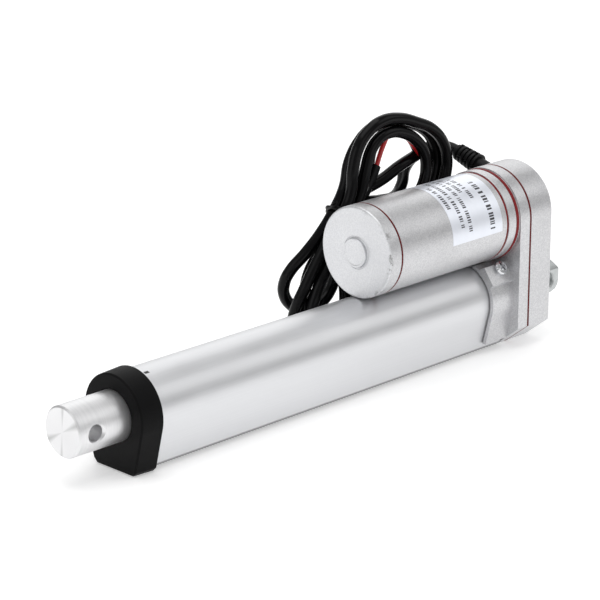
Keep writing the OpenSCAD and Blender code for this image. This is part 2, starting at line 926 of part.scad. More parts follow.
module lead_screw() {
    thread_start = 39;
    turns = floor((screw_tip - 8 - thread_start) / lead);
    color("silver")
        along_x(0)
            rotate_extrude()
                polygon(concat(
                    [[0, 11.9], [3, 11.9], [3, 14.5], [3.4, 14.5], [3.4, 14.6], [2.9, 14.6], [2.9, 15.2],
                        [3.4, 15.2], [3.4, 19.8], [3.95, 19.8], [3.95, 20.8], [3.4, 20.8], [3.4, 27.6],
                        [3.2, 27.6], [3.2, bearing_rear], [3.99, bearing_rear], [3.99, bearing_front],
                        [5.4, bearing_front], [5.4, 37.6], [3.4, 38.2]],
                    [for (i = [0 : turns - 1]) let (x = thread_start + i * lead)
                        for (p = [[3.4, x], [5, x + 0.2 * lead], [5, x + 0.5 * lead], [3.4, x + 0.7 * lead]]) p],
                    [[3.4, screw_tip - 6], [3.4, screw_tip], [0, screw_tip]]));
}

module shaft_circlips() {
    color("dimgray")
        for (clip = [[14.6, 2.9, 5.2], [27.8, 3.2, 5.4]])
            along_x(clip[0] + 0.02)
                rotate([0, 0, 120])
                    rotate_extrude(angle = 300)
                        translate([clip[1] + 0.02, 0])
                            square([clip[2] - clip[1], clip[0] < 20 ? 0.56 : 0.76]);
}

module screw_end_bush() {
    color([0.85, 0.85, 0.8])
        ring_x(screw_tip - 5, screw_tip, 8.1, 3.4 + fit / 5);
}

/* Sliding parts */
module drive_nut() {
    color([0.9, 0.9, 0.86])
        difference() {
            union() {
                rod_x(nut_rear, nut_front, bore_r - 0.35);
                translate([nut_rear, -7.2, -16.4])
                    cube([20, 14.4, 12]);
            }
            rod_x(nut_rear - beyond, nut_front + beyond, 5.06);
            rod_x(rod_seat, nut_front + beyond, rod_r + fit / 5);
        }
}

module rod_tube() {
    color("silver")
        ring_x(rod_seat, rod_joint, rod_r, 8.2);
}

module rod_end() {
    color("silver")
        difference() {
            along_x(0)
                rotate_extrude()
                    polygon([[0, rod_joint - 8], [8.18, rod_joint - 8], [8.18, rod_joint], [rod_r, rod_joint],
                        [rod_r, rod_tip - 0.7], [rod_r - 0.7, rod_tip], [0, rod_tip]]);
            translate([front_hole, 0, 0])
                rotate([90, 0, 0]) {
                    cylinder(h = 2 * rod_d, r = pin_r, center = true);
                    for (side = [-1, 1])
                        translate([0, 0, side * (rod_r - 0.5)])
                            cylinder(h = 1, r1 = pin_r + (side > 0 ? 0 : 1), r2 = pin_r + (side > 0 ? 1 : 0),
                                center = true);
                }
        }
}

/* Cable */
module at_gland() {
    translate(gland_root)
        rotate([90 - gland_rise, 0, 0])
            children();
}

module cable_gland() {
    color([0.06, 0.06, 0.06])
        at_gland() {
            difference() {
                union() {
                    translate([0, 0, -gland_depth])
                        cylinder(h = gland_depth + 19.3, r1 = 3.5, r2 = 3.1);
                    translate([0, 0, -gland_depth])
                        cylinder(h = 1.2, r = 4.1);
                    for (rib = [0 : 5])
                        translate([0, 0, 6.4 + rib * 2.1])
                            cylinder(h = 1.3, r1 = 4.5 - rib * 0.15, r2 = 4.35 - rib * 0.15);
                }
                translate([0, 0, -gland_depth - beyond])
                    cylinder(h = gland_depth + beyond - 0.6, r = 2.2);
            }
        }
}

module power_cable() {
    color([0.05, 0.05, 0.05])
        swept(cable_route, cable_d, 10);
}

module hank_lobe(depth, loops) {
    translate([0, hank_front, 0])
        rotate([90, 0, 0])
            linear_extrude(height = depth)
                hull()
                    for (loop = concat([waist], loops))
                        translate([loop[0], loop[1]])
                            circle(loop[2], $fn = 32);
}

module cable_hank() {
    color([0.05, 0.05, 0.05]) {
        hank_lobe(hank_depth, upper_loops);
        hank_lobe(floor_loops_depth, lower_loops);
    }
}

module cable_tie() {
    color([0.12, 0.12, 0.12])
        translate([waist[0], hank_front, waist[1]])
            rotate([0, 45, 0])
                difference() {
                    translate([-2, -hank_depth - 0.8, -waist[2] - 0.8])
                        cube([4, hank_depth + 1.6, 2 * waist[2] + 1.6]);
                    translate([-5, -hank_depth, -waist[2]])
                        cube([10, hank_depth, 2 * waist[2]]);
                }
}

module lead_red() {
    color("red")
        swept(red_route, lead_d, 8);
}

module lead_black() {
    color([0.05, 0.05, 0.05])
        swept(black_route, lead_d, 8);
}

module lead_sleeve() {
    color([0.05, 0.05, 0.05])
        swept([[70.4, -26.4, 57.6], [72.4, -26.4, 53.6], [75, -26.4, 49.4], [78.4, -26.4, 45.4]], cable_d - 0.6, 10);
}

rear_clevis();
clevis_screws();
gearbox_cover();
cover_screws();
cover_gasket();
gearbox_housing();
rear_bush();
idler_pin();
thrust_washers();
bearing_outer_ring();
bearing_retaining_ring();
outer_tube();
tube_screws();
front_cap();
guide_bush();
rod_wiper_seal();
switch_board();
rear_limit_switch();
front_limit_switch();
internal_leads();
motor_gasket();
motor_screws();
motor_front_plate();
motor_front_bush();
sleeve_rear_gasket();
motor_can();
motor_sleeve();
rating_label();
motor_magnets();
brush_holder();
motor_brushes();
brush_springs();
sleeve_front_gasket();
motor_end_cap();
motor_rear_bush();
cable_gland();
power_cable();
cable_hank();
cable_tie();
lead_red();
lead_black();
lead_sleeve();
lead_screw();
screw_gear();
shaft_circlips();
bearing_inner_ring();
screw_end_bush();
idler_gear();
bearing_balls();
bearing_cage();
motor_shaft();
motor_pinion();
armature_core();
armature_windings();
commutator();
rod_tube();
rod_end();
drive_nut();
rear_switch_plunger();
front_switch_plunger();
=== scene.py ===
import json
import math
import random

import bmesh
import bpy
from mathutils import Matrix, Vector


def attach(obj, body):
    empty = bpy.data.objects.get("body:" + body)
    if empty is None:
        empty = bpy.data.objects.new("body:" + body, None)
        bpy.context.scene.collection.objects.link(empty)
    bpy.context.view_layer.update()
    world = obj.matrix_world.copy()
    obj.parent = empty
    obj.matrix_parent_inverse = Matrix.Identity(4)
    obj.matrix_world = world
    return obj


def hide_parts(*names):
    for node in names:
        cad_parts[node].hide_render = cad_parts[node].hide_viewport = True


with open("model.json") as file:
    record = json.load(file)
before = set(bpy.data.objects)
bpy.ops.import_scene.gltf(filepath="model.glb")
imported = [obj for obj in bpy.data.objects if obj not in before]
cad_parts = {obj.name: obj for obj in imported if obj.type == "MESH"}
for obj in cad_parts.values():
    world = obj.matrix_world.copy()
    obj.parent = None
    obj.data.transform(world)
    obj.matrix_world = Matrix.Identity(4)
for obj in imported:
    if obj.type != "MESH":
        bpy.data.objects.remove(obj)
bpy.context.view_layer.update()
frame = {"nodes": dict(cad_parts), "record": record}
rng = random.Random(8)
MM = 0.001

# Places along the actuator in millimetres, as in part.scad
MOTOR_Z = 34.3
FLOOR_Z = -21.6
WAIST = Vector((88.0, -26.2, 36.8))
PIN_X, PIN_Y = 225.6, 4.1
GLAND_ROOT = (17.5, -10, 47.9)
GLAND_RISE = 17.5
CABLE_EXIT = (17.5, -28.4, 53.7)
TIE_D = 1.2


def mm(*p):
    return Vector(p) * MM


# ---------------------------------------------------------------- camera
camera = bpy.data.cameras.new("camera")
camera.lens = 149.9
camera.sensor_width = 36
camera.clip_start, camera.clip_end = 0.05, 20
eye = bpy.data.objects.new("camera", camera)
eye.location = (0.7994, 0.6521, 0.3259)
eye.rotation_mode = "QUATERNION"
eye.rotation_quaternion = Vector((-0.6749, -0.6688, -0.3118)).to_track_quat("-Z", "Y")
bpy.context.scene.collection.objects.link(eye)
bpy.context.scene.camera = eye


# ---------------------------------------------------------------- materials
class Nodes:
    """A material's node tree, with short calls for the nodes used here."""

    def __init__(self, name):
        self.material = bpy.data.materials.new(name)
        self.material.use_nodes = True
        self.tree = self.material.node_tree
        self.shader = self.tree.nodes["Principled BSDF"]
        self.place = self.tree.nodes.new("ShaderNodeTexCoord").outputs["Object"]

    def new(self, kind, **inputs):
        node = self.tree.nodes.new(kind)
        for name, value in inputs.items():
            self.give(node.inputs[name.replace("_", " ")], value)
        return node

    def give(self, socket, value):
        if isinstance(value, bpy.types.NodeSocket):
            self.tree.links.new(value, socket)
        else:
            socket.default_value = value

    def stretched(self, x, y, z):
        return self.new("ShaderNodeMapping", Vector=self.place, Scale=(x, y, z)).outputs[0]

    def noise(self, scale, detail=3.0, at=None, rough=0.55):
        node = self.new("ShaderNodeTexNoise", Vector=at or self.place, Scale=scale, Detail=detail,
                        Roughness=rough)
        return node.outputs["Fac"]

    def cells(self, scale):
        return self.new("ShaderNodeTexVoronoi", Vector=self.place, Scale=scale).outputs["Color"]

    def math(self, kind, a, b=0.0, c=0.0, clamp=False):
        node = self.tree.nodes.new("ShaderNodeMath")
        node.operation = kind
        node.use_clamp = clamp
        for socket, value in zip(node.inputs, (a, b, c)):
            self.give(socket, value)
        return node.outputs[0]

    def span(self, value, low, high, to_low=0.0, to_high=1.0):
        node = self.new("ShaderNodeMapRange", Value=value)
        for name, number in (("From Min", low), ("From Max", high), ("To Min", to_low), ("To Max", to_high)):
            node.inputs[name].default_value = number
        return node.outputs[0]

    def blend(self, share, a, b):
        node = self.tree.nodes.new("ShaderNodeMix")
        node.data_type = "RGBA"
        self.give(node.inputs[0], share)
        self.give(node.inputs[6], a if isinstance(a, bpy.types.NodeSocket) else (*a, 1))
        self.give(node.inputs[7], b if isinstance(b, bpy.types.NodeSocket) else (*b, 1))
        return node.outputs[2]

    def apart(self):
        node = self.new("ShaderNodeSeparateXYZ", Vector=self.place)
        return node.outputs[0], node.outputs[1], node.outputs[2]

    def bump(self, height, distance, strength=1.0):
        node = self.new("ShaderNodeBump", Height=height)
        node.inputs["Strength"].default_value = strength
        node.inputs["Distance"].default_value = distance
        return node.outputs[0]

    def finish(self, colour, rough, normal=None, metal=0.0, **fixed):
        self.give(self.shader.inputs["Base Color"], colour)
        self.give(self.shader.inputs["Roughness"], rough)
        self.give(self.shader.inputs["Metallic"], metal)
        if normal:
            self.give(self.shader.inputs["Normal"], normal)
        for name, value in fixed.items():
            self.shader.inputs[name.replace("_", " ")].default_value = value
        return self.material


def speckled_paint(name, light, dark, wear=None, painted_highlight=None):
    """Silver paint: flakes a third of a millimetre wide, a soft orange peel, and faint grime."""
    n = Nodes(name)
    flake = n.span(n.new("ShaderNodeSeparateColor", Color=n.cells(2600)).outputs[0], 0, 1)
    fine = n.noise(1500, 2)
    grime = n.span(n.noise(45, 4), 0.35, 0.75)
    specks = n.math("ADD", n.math("MULTIPLY", flake, 0.6), n.math("MULTIPLY", fine, 0.4))
    colour = n.blend(n.span(specks, 0.25, 0.8), dark, light)
    colour = n.blend(n.math("MULTIPLY", grime, 0.22), colour, [c * 0.72 for c in light])
    rough = n.span(n.math("ADD", flake, grime), 0, 2, 0.3, 0.44)
    height = n.math("ADD", n.noise(700, 3), n.math("MULTIPLY", flake, 0.55))
    # Painted highlight: lightens the colour where the mask is high, standing in for light falling on that side.
    if painted_highlight:
        colour = n.blend(painted_highlight(n), colour, (0.90, 0.92, 0.95))
    if wear:
        mask = wear(n)
        colour = n.blend(mask, colour, (0.33, 0.33, 0.33))
        rough = n.math("ADD", rough, n.math("MULTIPLY", mask, 0.12))
        height = n.math("SUBTRACT", height, n.math("MULTIPLY", mask, 2.2))
    return n.finish(colour, rough, n.bump(height, 0.00005, 0.4), metal=0.8)


def drawn_metal(name, light, dark, along, rough, metal=1.0, grain=0.00002, marks=None, **fixed):
    """Metal with fine lines along one axis, as from drawing or turning."""
    n = Nodes(name)
    lines = n.noise(1, 4, n.stretched(*along), 0.65)
    cloud = n.noise(60, 3)
    tone = n.math("ADD", n.math("MULTIPLY", lines, 0.7), n.math("MULTIPLY", cloud, 0.3))
    colour = n.blend(n.span(tone, 0.3, 0.7), dark, light)
    # Darkens the colour where the marks mask is high; for the tube this holds a painted dark reflection along its
    # lower edge, as well as a pin.
    if marks:
        colour = n.blend(marks(n), colour, (0.05, 0.05, 0.05))
    return n.finish(colour, n.span(n.math("ADD", lines, cloud), 0.6, 1.4, rough - 0.05, rough + 0.07),
                    n.bump(lines, grain, 0.6), metal=metal, **fixed)


def moulded(name, light, dark, rough, scale=900, depth=0.00003, **fixed):
    """Moulded plastic or rubber: a fine grain and slow changes of tone and gloss."""
    n = Nodes(name)
    grain = n.noise(scale, 4, rough=0.6)
    cloud = n.noise(55, 3)
    tone = n.math("ADD", n.math("MULTIPLY", grain, 0.5), n.math("MULTIPLY", cloud, 0.5))
    colour = n.blend(n.span(tone, 0.3, 0.7), dark, light)
    return n.finish(colour, n.span(cloud, 0.3, 0.7, rough - 0.05, rough + 0.06), n.bump(grain, depth, 0.6),
                    **fixed)


def end_cap_wear(n):
    """Chips in the paint round the motor's front edge, with more of them towards +y."""
    x, y, z = n.apart()
    dz = n.math("SUBTRACT", z, MOTOR_Z * MM)
    r = n.math("SQRT", n.math("ADD", n.math("MULTIPLY", y, y), n.math("MULTIPLY", dz, dz)))
    rim = n.math("MULTIPLY", n.span(r, 0.0168, 0.0186), n.span(x, 0.1066, 0.1090))
    side = n.span(y, -0.002, 0.016)
    spots = n.span(n.noise(260, 5, rough=0.7), 0.56, 0.62)
    share = n.math("ADD", n.math("MULTIPLY", side, 0.8), 0.15)
    return n.math("MULTIPLY", n.math("MULTIPLY", rim, spots), share, clamp=True)


def end_cap_painted_highlight(n):
    """Painted highlight: the cap's flat front made paler and bluer than its side, standing in for the light that
    falls on it.
    """
    return n.math("MULTIPLY", n.span(n.apart()[0], 0.1088, 0.1095), 0.32)


def tube_painted_edge_and_pin(n):
    """A painted dark reflection along the tube's rounded lower edge, and the small dark pin beside the front cap."""
    x, y, z = n.apart()
    # Painted reflection: a dark line on the tube's rounded lower edge.
    edge = n.math("MULTIPLY", n.span(z, -0.0188, -0.0193), 0.6)
    along = n.math("MULTIPLY", n.math("ABSOLUTE", n.math("SUBTRACT", x, PIN_X * MM)), 0.6)
    across = n.math("ABSOLUTE", n.math("SUBTRACT", y, PIN_Y * MM))
    near = n.span(n.math("MAXIMUM", along, across), 0.00075, 0.00055)
    pin = n.math("MULTIPLY", near, n.span(z, 0.012, 0.0125))
    return n.math("MAXIMUM", edge, pin)


# ---------------------------------------------------------------- building pieces
def shown(mesh_or_curve, name, material, body, slot=None, stands_for=()):
    piece = bpy.data.objects.new(name, mesh_or_curve)
    bpy.context.scene.collection.objects.link(piece)
    mesh_or_curve.materials.append(material)
    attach(piece, body)
    if stands_for:
        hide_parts(*stands_for)
    return piece


def meshed(name, points, faces, material, body, slot=None, stands_for=(), angle=40):
    """A mesh from points in millimetres, smooth except where it turns by more than the angle."""
    bm = bmesh.new()
    corners = [bm.verts.new(mm(*p)) for p in points]
    for face in faces:
        bm.faces.new([corners[i] for i in face])
    bmesh.ops.remove_doubles(bm, verts=bm.verts, dist=1e-7)
    bmesh.ops.recalc_face_normals(bm, faces=bm.faces)
    for face in bm.faces:
        face.smooth = True
    for edge in bm.edges:
        if len(edge.link_faces) == 2 and edge.calc_face_angle(0) > math.radians(angle):
            edge.smooth = False
    mesh = bpy.data.meshes.new(name)
    bm.to_mesh(mesh)
    bm.free()
    return shown(mesh, name, material, body, slot, stands_for)


def lathe(profile, sides, place):
    """Points and faces of a turned profile of (along, radius); place(along, radius, angle) gives a point."""
    points, faces = [], []
    rows = []
    for along, radius in profile:
        if radius < 1e-6:
            points.append(place(along, 0, 0))
            rows.append([len(points) - 1] * sides)
        else:
            rows.append(list(range(len(points), len(points) + sides)))
            points += [place(along, radius, 2 * math.pi * k / sides) for k in range(sides)]
    for a, b in zip(rows, rows[1:]):
        for k in range(sides):
            m = (k + 1) % sides
            face = [a[k], a[m], b[m], b[k]]
            face = [f for i, f in enumerate(face) if f != face[i - 1]]
            if len(set(face)) > 2:
                faces.append(face)
    return points, faces


def on_axis(z0):
    """Places a turned profile on an axis along X at height z0."""
    return lambda along, radius, a: (along, radius * math.cos(a), z0 + radius * math.sin(a))


def rounded(profile, corner, r, steps=4):
    """The profile with the corner at that index rounded to about r."""
    p0, p1, p2 = (Vector(profile[i]) for i in (corner - 1, corner, corner + 1))
    a, b = p1 + (p0 - p1).normalized() * r, p1 + (p2 - p1).normalized() * r
    shares = [k / steps for k in range(steps + 1)]
    arc = [tuple(a * (1 - t) ** 2 + p1 * (2 * t * (1 - t)) + b * t * t) for t in shares]
    return profile[:corner] + arc + profile[corner + 1:]


def strand(name, points, diameter, material, body, slot=None, stands_for=(), sides=4):
    """One smooth open spline through points in millimetres, with a round section."""
    line = bpy.data.curves.new(name, "CURVE")
    line.dimensions = "3D"
    line.bevel_depth = diameter / 2 * MM
    line.bevel_resolution = sides
    line.resolution_u = 6
    line.use_fill_caps = True
    spline = line.splines.new("BEZIER")
    spline.bezier_points.add(len(points) - 1)
    for knot, p in zip(spline.bezier_points, points):
        knot.co = mm(*p)
        knot.handle_left_type = knot.handle_right_type = "AUTO"
    return shown(line, name, material, body, slot, stands_for)


# ---------------------------------------------------------------- cable
cable_black = moulded("pvc_sheath", (0.003, 0.003, 0.0034), (0.0015, 0.0015, 0.0018), 0.18, 350, 0.00004,
                      Specular_IOR_Level=0.13)
red_pvc = moulded("red_pvc", (0.62, 0.012, 0.014), (0.36, 0.004, 0.006), 0.34, 600, 0.00002, Coat_Weight=0.3,
                  Coat_Roughness=0.2)
black_pvc = moulded("black_pvc", (0.03, 0.03, 0.032), (0.012, 0.012, 0.013), 0.34, 600, 0.00002, Coat_Weight=0.3,
                    Coat_Roughness=0.2)
gland_rubber = moulded("gland_rubber", (0.008, 0.008, 0.0085), (0.004, 0.004, 0.0043), 0.45, 900, 0.00004,
                       Specular_IOR_Level=0.16)

CABLE_D = 5.0
LEAD_D = 2.1
CABLE_MM = (
    CABLE_EXIT, (18.5, -32.7, 54.7), (21, -36.3, 55), (24.9, -38.7, 54.4), (31.3, -39.5, 52.4),
    (40.7, -37, 48.8), (49, -31.4, 44.1), (56.7, -28.6, 41.1), (65.9, -28, 41.4), (75.5, -28, 42.1),
    (81.3, -27.9, 40), (85.3, -28.4, 36.1), (87.5, -30.3, 31.7), (87.8, -33.3, 27.3), (84.6, -36.8, 21.5),
    (81.3, -38.5, 14.7), (81.3, -39, 9.2), (83.6, -39.1, 4.2), (88.1, -39.1, 0.3), (94.3, -39.1, -1.7),
    (100.9, -39.2, -0.9), (106.8, -39.5, 2.6), (110.9, -39.3, 8), (112.4, -37.7, 13.8), (111.6, -34.9, 19.6),
    (106.7, -31.4, 26.4), (99.3, -29.4, 34.3), (92.6, -28.3, 42.9), (86.7, -28.6, 51), (83.5, -28.9, 61.3),
    (77.6, -28.7, 69.1), (70, -28.7, 73.2), (60, -28.7, 73.9), (49.3, -28.7, 71.5), (39.3, -28.7, 67.3),
    (33.1, -28.7, 61.3), (30.5, -28.7, 54.5), (30.9, -28.7, 47.5), (34.1, -28.7, 41.3), (40.3, -28.7, 36.5),
    (50.3, -28.7, 34), (61.2, -28.9, 34.9), (70.9, -28.9, 37.2), (76.5, -28.6, 36.2), (80.8, -28.5, 33.3),
    (83.5, -29, 28.9), (84.4, -30.9, 23.1), (82.5, -33.1, 12.9), (81.1, -33.3, 2), (81.9, -33.8, -8),
    (85.3, -33.9, -14.2), (90.3, -33.8, -17.8), (96.4, -33.9, -19.1), (102.7, -34, -17.8), (108, -34, -13.9),
    (111.8, -33.5, -6.9), (113.6, -30.5, 3.2), (111.7, -27, 13.1), (106.6, -25.5, 22.7), (100.6, -24.5, 31.9),
    (94.1, -23.4, 40.6), (88.7, -23.2, 49.2), (87.1, -23.4, 59.8), (83.8, -23.4, 68.6), (78.1, -23.4, 74),
    (70.1, -23.4, 76.8), (59.5, -23.4, 76.1), (49.1, -23.4, 72.6), (39.2, -23.4, 67.9), (32.5, -23.4, 61.3),
    (29.7, -23.4, 54), (30.2, -23.4, 46.5), (33.7, -23.4, 39.8), (40.3, -23.4, 34.7), (50.5, -23.4, 32.2),
    (61.4, -23.7, 33.3), (71.1, -24, 35.9), (76.8, -23.7, 35.3), (81.2, -23.5, 32.4), (84.2, -23.2, 28.2),
    (85, -23.1, 22.9), (82.4, -23.1, 14.4), (80.2, -23.3, 3.7), (81.1, -23.4, -6.8), (84.8, -23.5, -13.7),
    (89.9, -23.5, -17.5), (95.8, -23.5, -18.9), (101.7, -23.5, -17.6), (107, -23.5, -13.8),
    (110.7, -23.5, -7.3), (111.6, -23.4, 1.9), (108.3, -23.2, 11.8), (102.3, -23.1, 21), (96, -23.2, 30),
    (89.2, -23.3, 38.7), (82.9, -23.4, 47.7), (79.7, -23.4, 58.1), (76.4, -23.4, 65.9), (72, -23.4, 69.7),
    (66, -23.4, 71.2), (57.5, -23.4, 69.7), (48.4, -23.3, 64.3), (43.9, -23.2, 58.1), (42.7, -23.3, 52),
    (44, -23.3, 46.2), (47.5, -23.4, 41.7), (52.6, -23.4, 39), (60.4, -23.3, 38.7), (70.9, -23.1, 40.9),
    (78.9, -23.1, 39.9), (84.5, -23.3, 36.4), (87.7, -24.4, 32), (88.7, -26.2, 26.8), (87.1, -27.5, 20.6),
    (81.4, -28.2, 12.1), (79.3, -28.4, 5.9), (80.1, -28.4, 0.5), (83.2, -28.5, -4.2), (88.4, -28.6, -7.7),
    (94.8, -28.6, -8.7), (100.7, -28.6, -7.3), (105.2, -28.7, -3.8), (107.9, -29.1, 1.7), (108.1, -30, 10.7),
    (105, -29.9, 20), (98, -28.8, 28.2), (91, -28.9, 36.7), (84.1, -29.5, 43.9), (75.3, -29.2, 47.1),
    (64.8, -28.2, 50.1), (54.6, -27.5, 54.2), (44.1, -28.2, 56.5),
)
cable = strand("cable_sheath", CABLE_MM, CABLE_D, cable_black, "housing", "cable_black",
               ["power_cable", "cable_hank"], 6)

RED_MM = [(43.6, -26.2, 57.0), (45.4, -25.6, 58.8), (48.8, -25.6, 62.6), (53, -26.2, 67), (58.2, -26.8, 70),
          (63, -26.4, 69), (66.8, -26, 64.8), (69, -25.9, 60.8), (70.6, -25.9, 57), (72.4, -25.9, 53.2)]
BLACK_MM = [(43.4, -27.8, 56.9), (44.8, -28.3, 59.4), (47.6, -28.6, 63.8), (52, -29, 68.6), (58, -29.2, 71.6),
            (64, -28.9, 70.2), (68.4, -28.4, 65), (70.4, -27.9, 61), (71.6, -27.5, 57), (73.1, -27, 53.8)]
red = strand("lead_red_wire", RED_MM, LEAD_D, red_pvc, "housing", "lead_red", ["lead_red"], 3)
black = strand("lead_black_wire", BLACK_MM, LEAD_D, black_pvc, "housing", "lead_black", ["lead_black"], 3)


def tube_mesh(path, radii, sides, flat=1.0):
    """Rings along a path in millimetres, each with its own radius; flat squeezes the rings sideways."""
    points, faces = [], []
    path = [Vector(p) for p in path]
    side = None
    for i, p in enumerate(path):
        way = (path[min(i + 1, len(path) - 1)] - path[max(i - 1, 0)]).normalized()
        side = (Vector((0, 1, 0)) if side is None else side)
        side = (side - way * side.dot(way)).normalized()
        up = way.cross(side)
        for k in range(sides):
            a = 2 * math.pi * k / sides
            points.append(tuple(p + side * (radii[i] * flat * math.cos(a)) + up * (radii[i] * math.sin(a))))
        if i:
            for k in range(sides):
                m = (k + 1) % sides
                faces.append([(i - 1) * sides + k, (i - 1) * sides + m, i * sides + m, i * sides + k])
    return points, faces


SLEEVE_MM = [(72.6, -26.4, 53.2), (70.3, -26.4, 57.8), (70.4, -26.4, 57.6), (71.2, -26.4, 56),
             (72.4, -26.4, 53.6), (73.7, -26.4, 51.5), (75, -26.4, 49.4), (76.7, -26.4, 47.4),
             (78, -26.4, 45.9), (78.4, -26.4, 45.4), (78.5, -26.4, 45.3)]
SLEEVE_RADII = [1.85, 1.85, 2.3, 2.3, 2.25, 2.3, 2.2, 2.3, 2.25, 2.0, 0.2]
points, faces = tube_mesh(SLEEVE_MM, SLEEVE_RADII, 24, 0.92)
sleeve = meshed("lead_sleeve_tube", points, faces, cable_black, "housing", "cable_black", ["lead_sleeve"])


def tie_path():
    """A soft wire twice round the waist of the hank, with its two ends twisted together."""
    down = Vector((0.703, 0, -0.711))
    across = Vector((0.711, 0, 0.703))
    front = Vector((0, 1, 0))
    half_w, half_y = 11.5, 6.1
    knot = WAIST + across * (half_w + 0.6) + front * 1.5
    out = (across * 0.8 + front * 0.25 + down * -0.55).normalized()
    side = out.cross(front).normalized()
    other = out.cross(side)

    def tail(phase, far):
        steps = [far * k / 11 for k in range(12)]
        return [knot + out * (0.6 + s)
                + (side * math.cos(s * 1.5 + phase) + other * math.sin(s * 1.5 + phase)) * 0.72 for s in steps]

    loop = []
    turns, per = 2, 20
    for k in range(3, turns * per - 2):
        a = 2 * math.pi * k / per
        c, s = math.cos(a), math.sin(a)
        square = (abs(c) ** 3 + abs(s) ** 3) ** (-1 / 3)
        loop.append(WAIST + across * (half_w * c * square) + front * (half_y * s * square)
                    + down * (1.5 * (k / (turns * per) - 0.5)))
    return [tuple(p) for p in tail(0, 2.6)[::-1] + loop + tail(math.pi, 2.1)]


tie = strand("cable_tie_wire", tie_path(), TIE_D, gland_rubber, "housing", "gland_black", ["cable_tie"], 3)

mm(*RED_MM[0])
mm(*BLACK_MM[0])


def strain_relief():
    """A tapered sleeve with six ribs, each rib in two arcs that stand crosswise to the next."""
    rise = math.radians(GLAND_RISE)
    root = Vector(GLAND_ROOT)
    along, right = Vector((0, -math.cos(rise), math.sin(rise))), Vector((1, 0, 0))
    up = right.cross(along)

    def place(t, r, a):
        return tuple(root + along * t + right * (r * math.cos(a)) + up * (r * math.sin(a)))

    core = [(-4.5, 2.6), (-4.5, 3.45), (1, 3.45), (1.2, 3.45), (4.6, 3.42), (5.1, 3.4), (18.6, 3.05), (19.1, 2.95),
            (19.3, 2.7), (19.3, 2.5), (18.4, 2.5)]
    points, faces = lathe(core, 40, place)
    for rib in range(6):
        start, r = 6.4 + rib * 2.1, 4.5 - rib * 0.15
        turn = math.pi / 2 * (rib % 2)
        for half in (0, math.pi):
            base = len(points)
            steps = 18
            for k in range(steps + 1):
                a = turn + half + math.radians(11 + 158 * k / steps)
                ring = [(start, 2.9), (start, r - 0.18), (start + 0.14, r - 0.03), (start + 0.3, r),
                        (start + 1.0, r - 0.03), (start + 1.16, r - 0.08), (start + 1.3, r - 0.24),
                        (start + 1.3, 2.9)]
                points += [place(t, q, a) for t, q in ring]
            n = 8
            for k in range(steps):
                for m in range(n):
                    q = (m + 1) % n
                    here, ahead = base + k * n, base + (k + 1) * n
                    faces.append([here + m, here + q, ahead + q, ahead + m])
            faces.append([base + m for m in range(n)])
            faces.append([base + steps * n + m for m in reversed(range(n))])
    return points, faces


points, faces = strain_relief()
meshed("strain_relief", points, faces, gland_rubber, "housing", "gland_black", ["cable_gland"])

# ---------------------------------------------------------------- metals, paint and the rest
SILVER = ((0.70, 0.70, 0.71), (0.55, 0.55, 0.565))
paint = speckled_paint("silver_paint", *SILVER)
# The cap's paint has wear chips round its front edge and a painted highlight on its flat front.
cap_paint = speckled_paint("silver_paint_cap", *SILVER, end_cap_wear, end_cap_painted_highlight)
metal_looks = {
    "bare_steel": drawn_metal("dull_steel", (0.60, 0.62, 0.62), (0.42, 0.44, 0.44), (300, 60, 500), 0.36),
    "anodised_tube": drawn_metal("anodised", (0.73, 0.735, 0.75), (0.69, 0.695, 0.71), (1.5, 1900, 1900), 0.36, 0.85,
                                0.000004, tube_painted_edge_and_pin),
    "rod_metal": drawn_metal("turned_rod", (0.82, 0.82, 0.83), (0.74, 0.74, 0.75), (2600, 30, 30), 0.38, 0.85,
                             0.000006),
    "zinc_screw": drawn_metal("zinc_plate", (0.92, 0.93, 0.95), (0.45, 0.46, 0.48), (500, 500, 500), 0.14),
    "bronze": drawn_metal("oiled_bronze", (0.60, 0.40, 0.20), (0.42, 0.27, 0.12), (800, 60, 60), 0.36),
    "bearing_steel": drawn_metal("ground_steel", (0.78, 0.78, 0.79), (0.66, 0.66, 0.67), (900, 60, 60), 0.16),
    "spring_steel": drawn_metal("blackened_steel", (0.15, 0.15, 0.16), (0.07, 0.07, 0.075), (400, 400, 400), 0.38),
    "magnet": drawn_metal("ferrite", (0.12, 0.12, 0.13), (0.07, 0.07, 0.075), (700, 700, 700), 0.6, 0.2),
    "iron_stack": drawn_metal("laminations", (0.34, 0.34, 0.35), (0.17, 0.17, 0.18), (2200, 20, 20), 0.45, 0.9,
                              0.00005),
    "copper": drawn_metal("enamelled_copper", (0.66, 0.27, 0.12), (0.40, 0.14, 0.05), (60, 1500, 1500), 0.3, 0.9,
                          0.00005),
    "spring_brass": drawn_metal("leaf_brass", (0.76, 0.58, 0.26), (0.58, 0.42, 0.16), (400, 400, 400), 0.3),
}
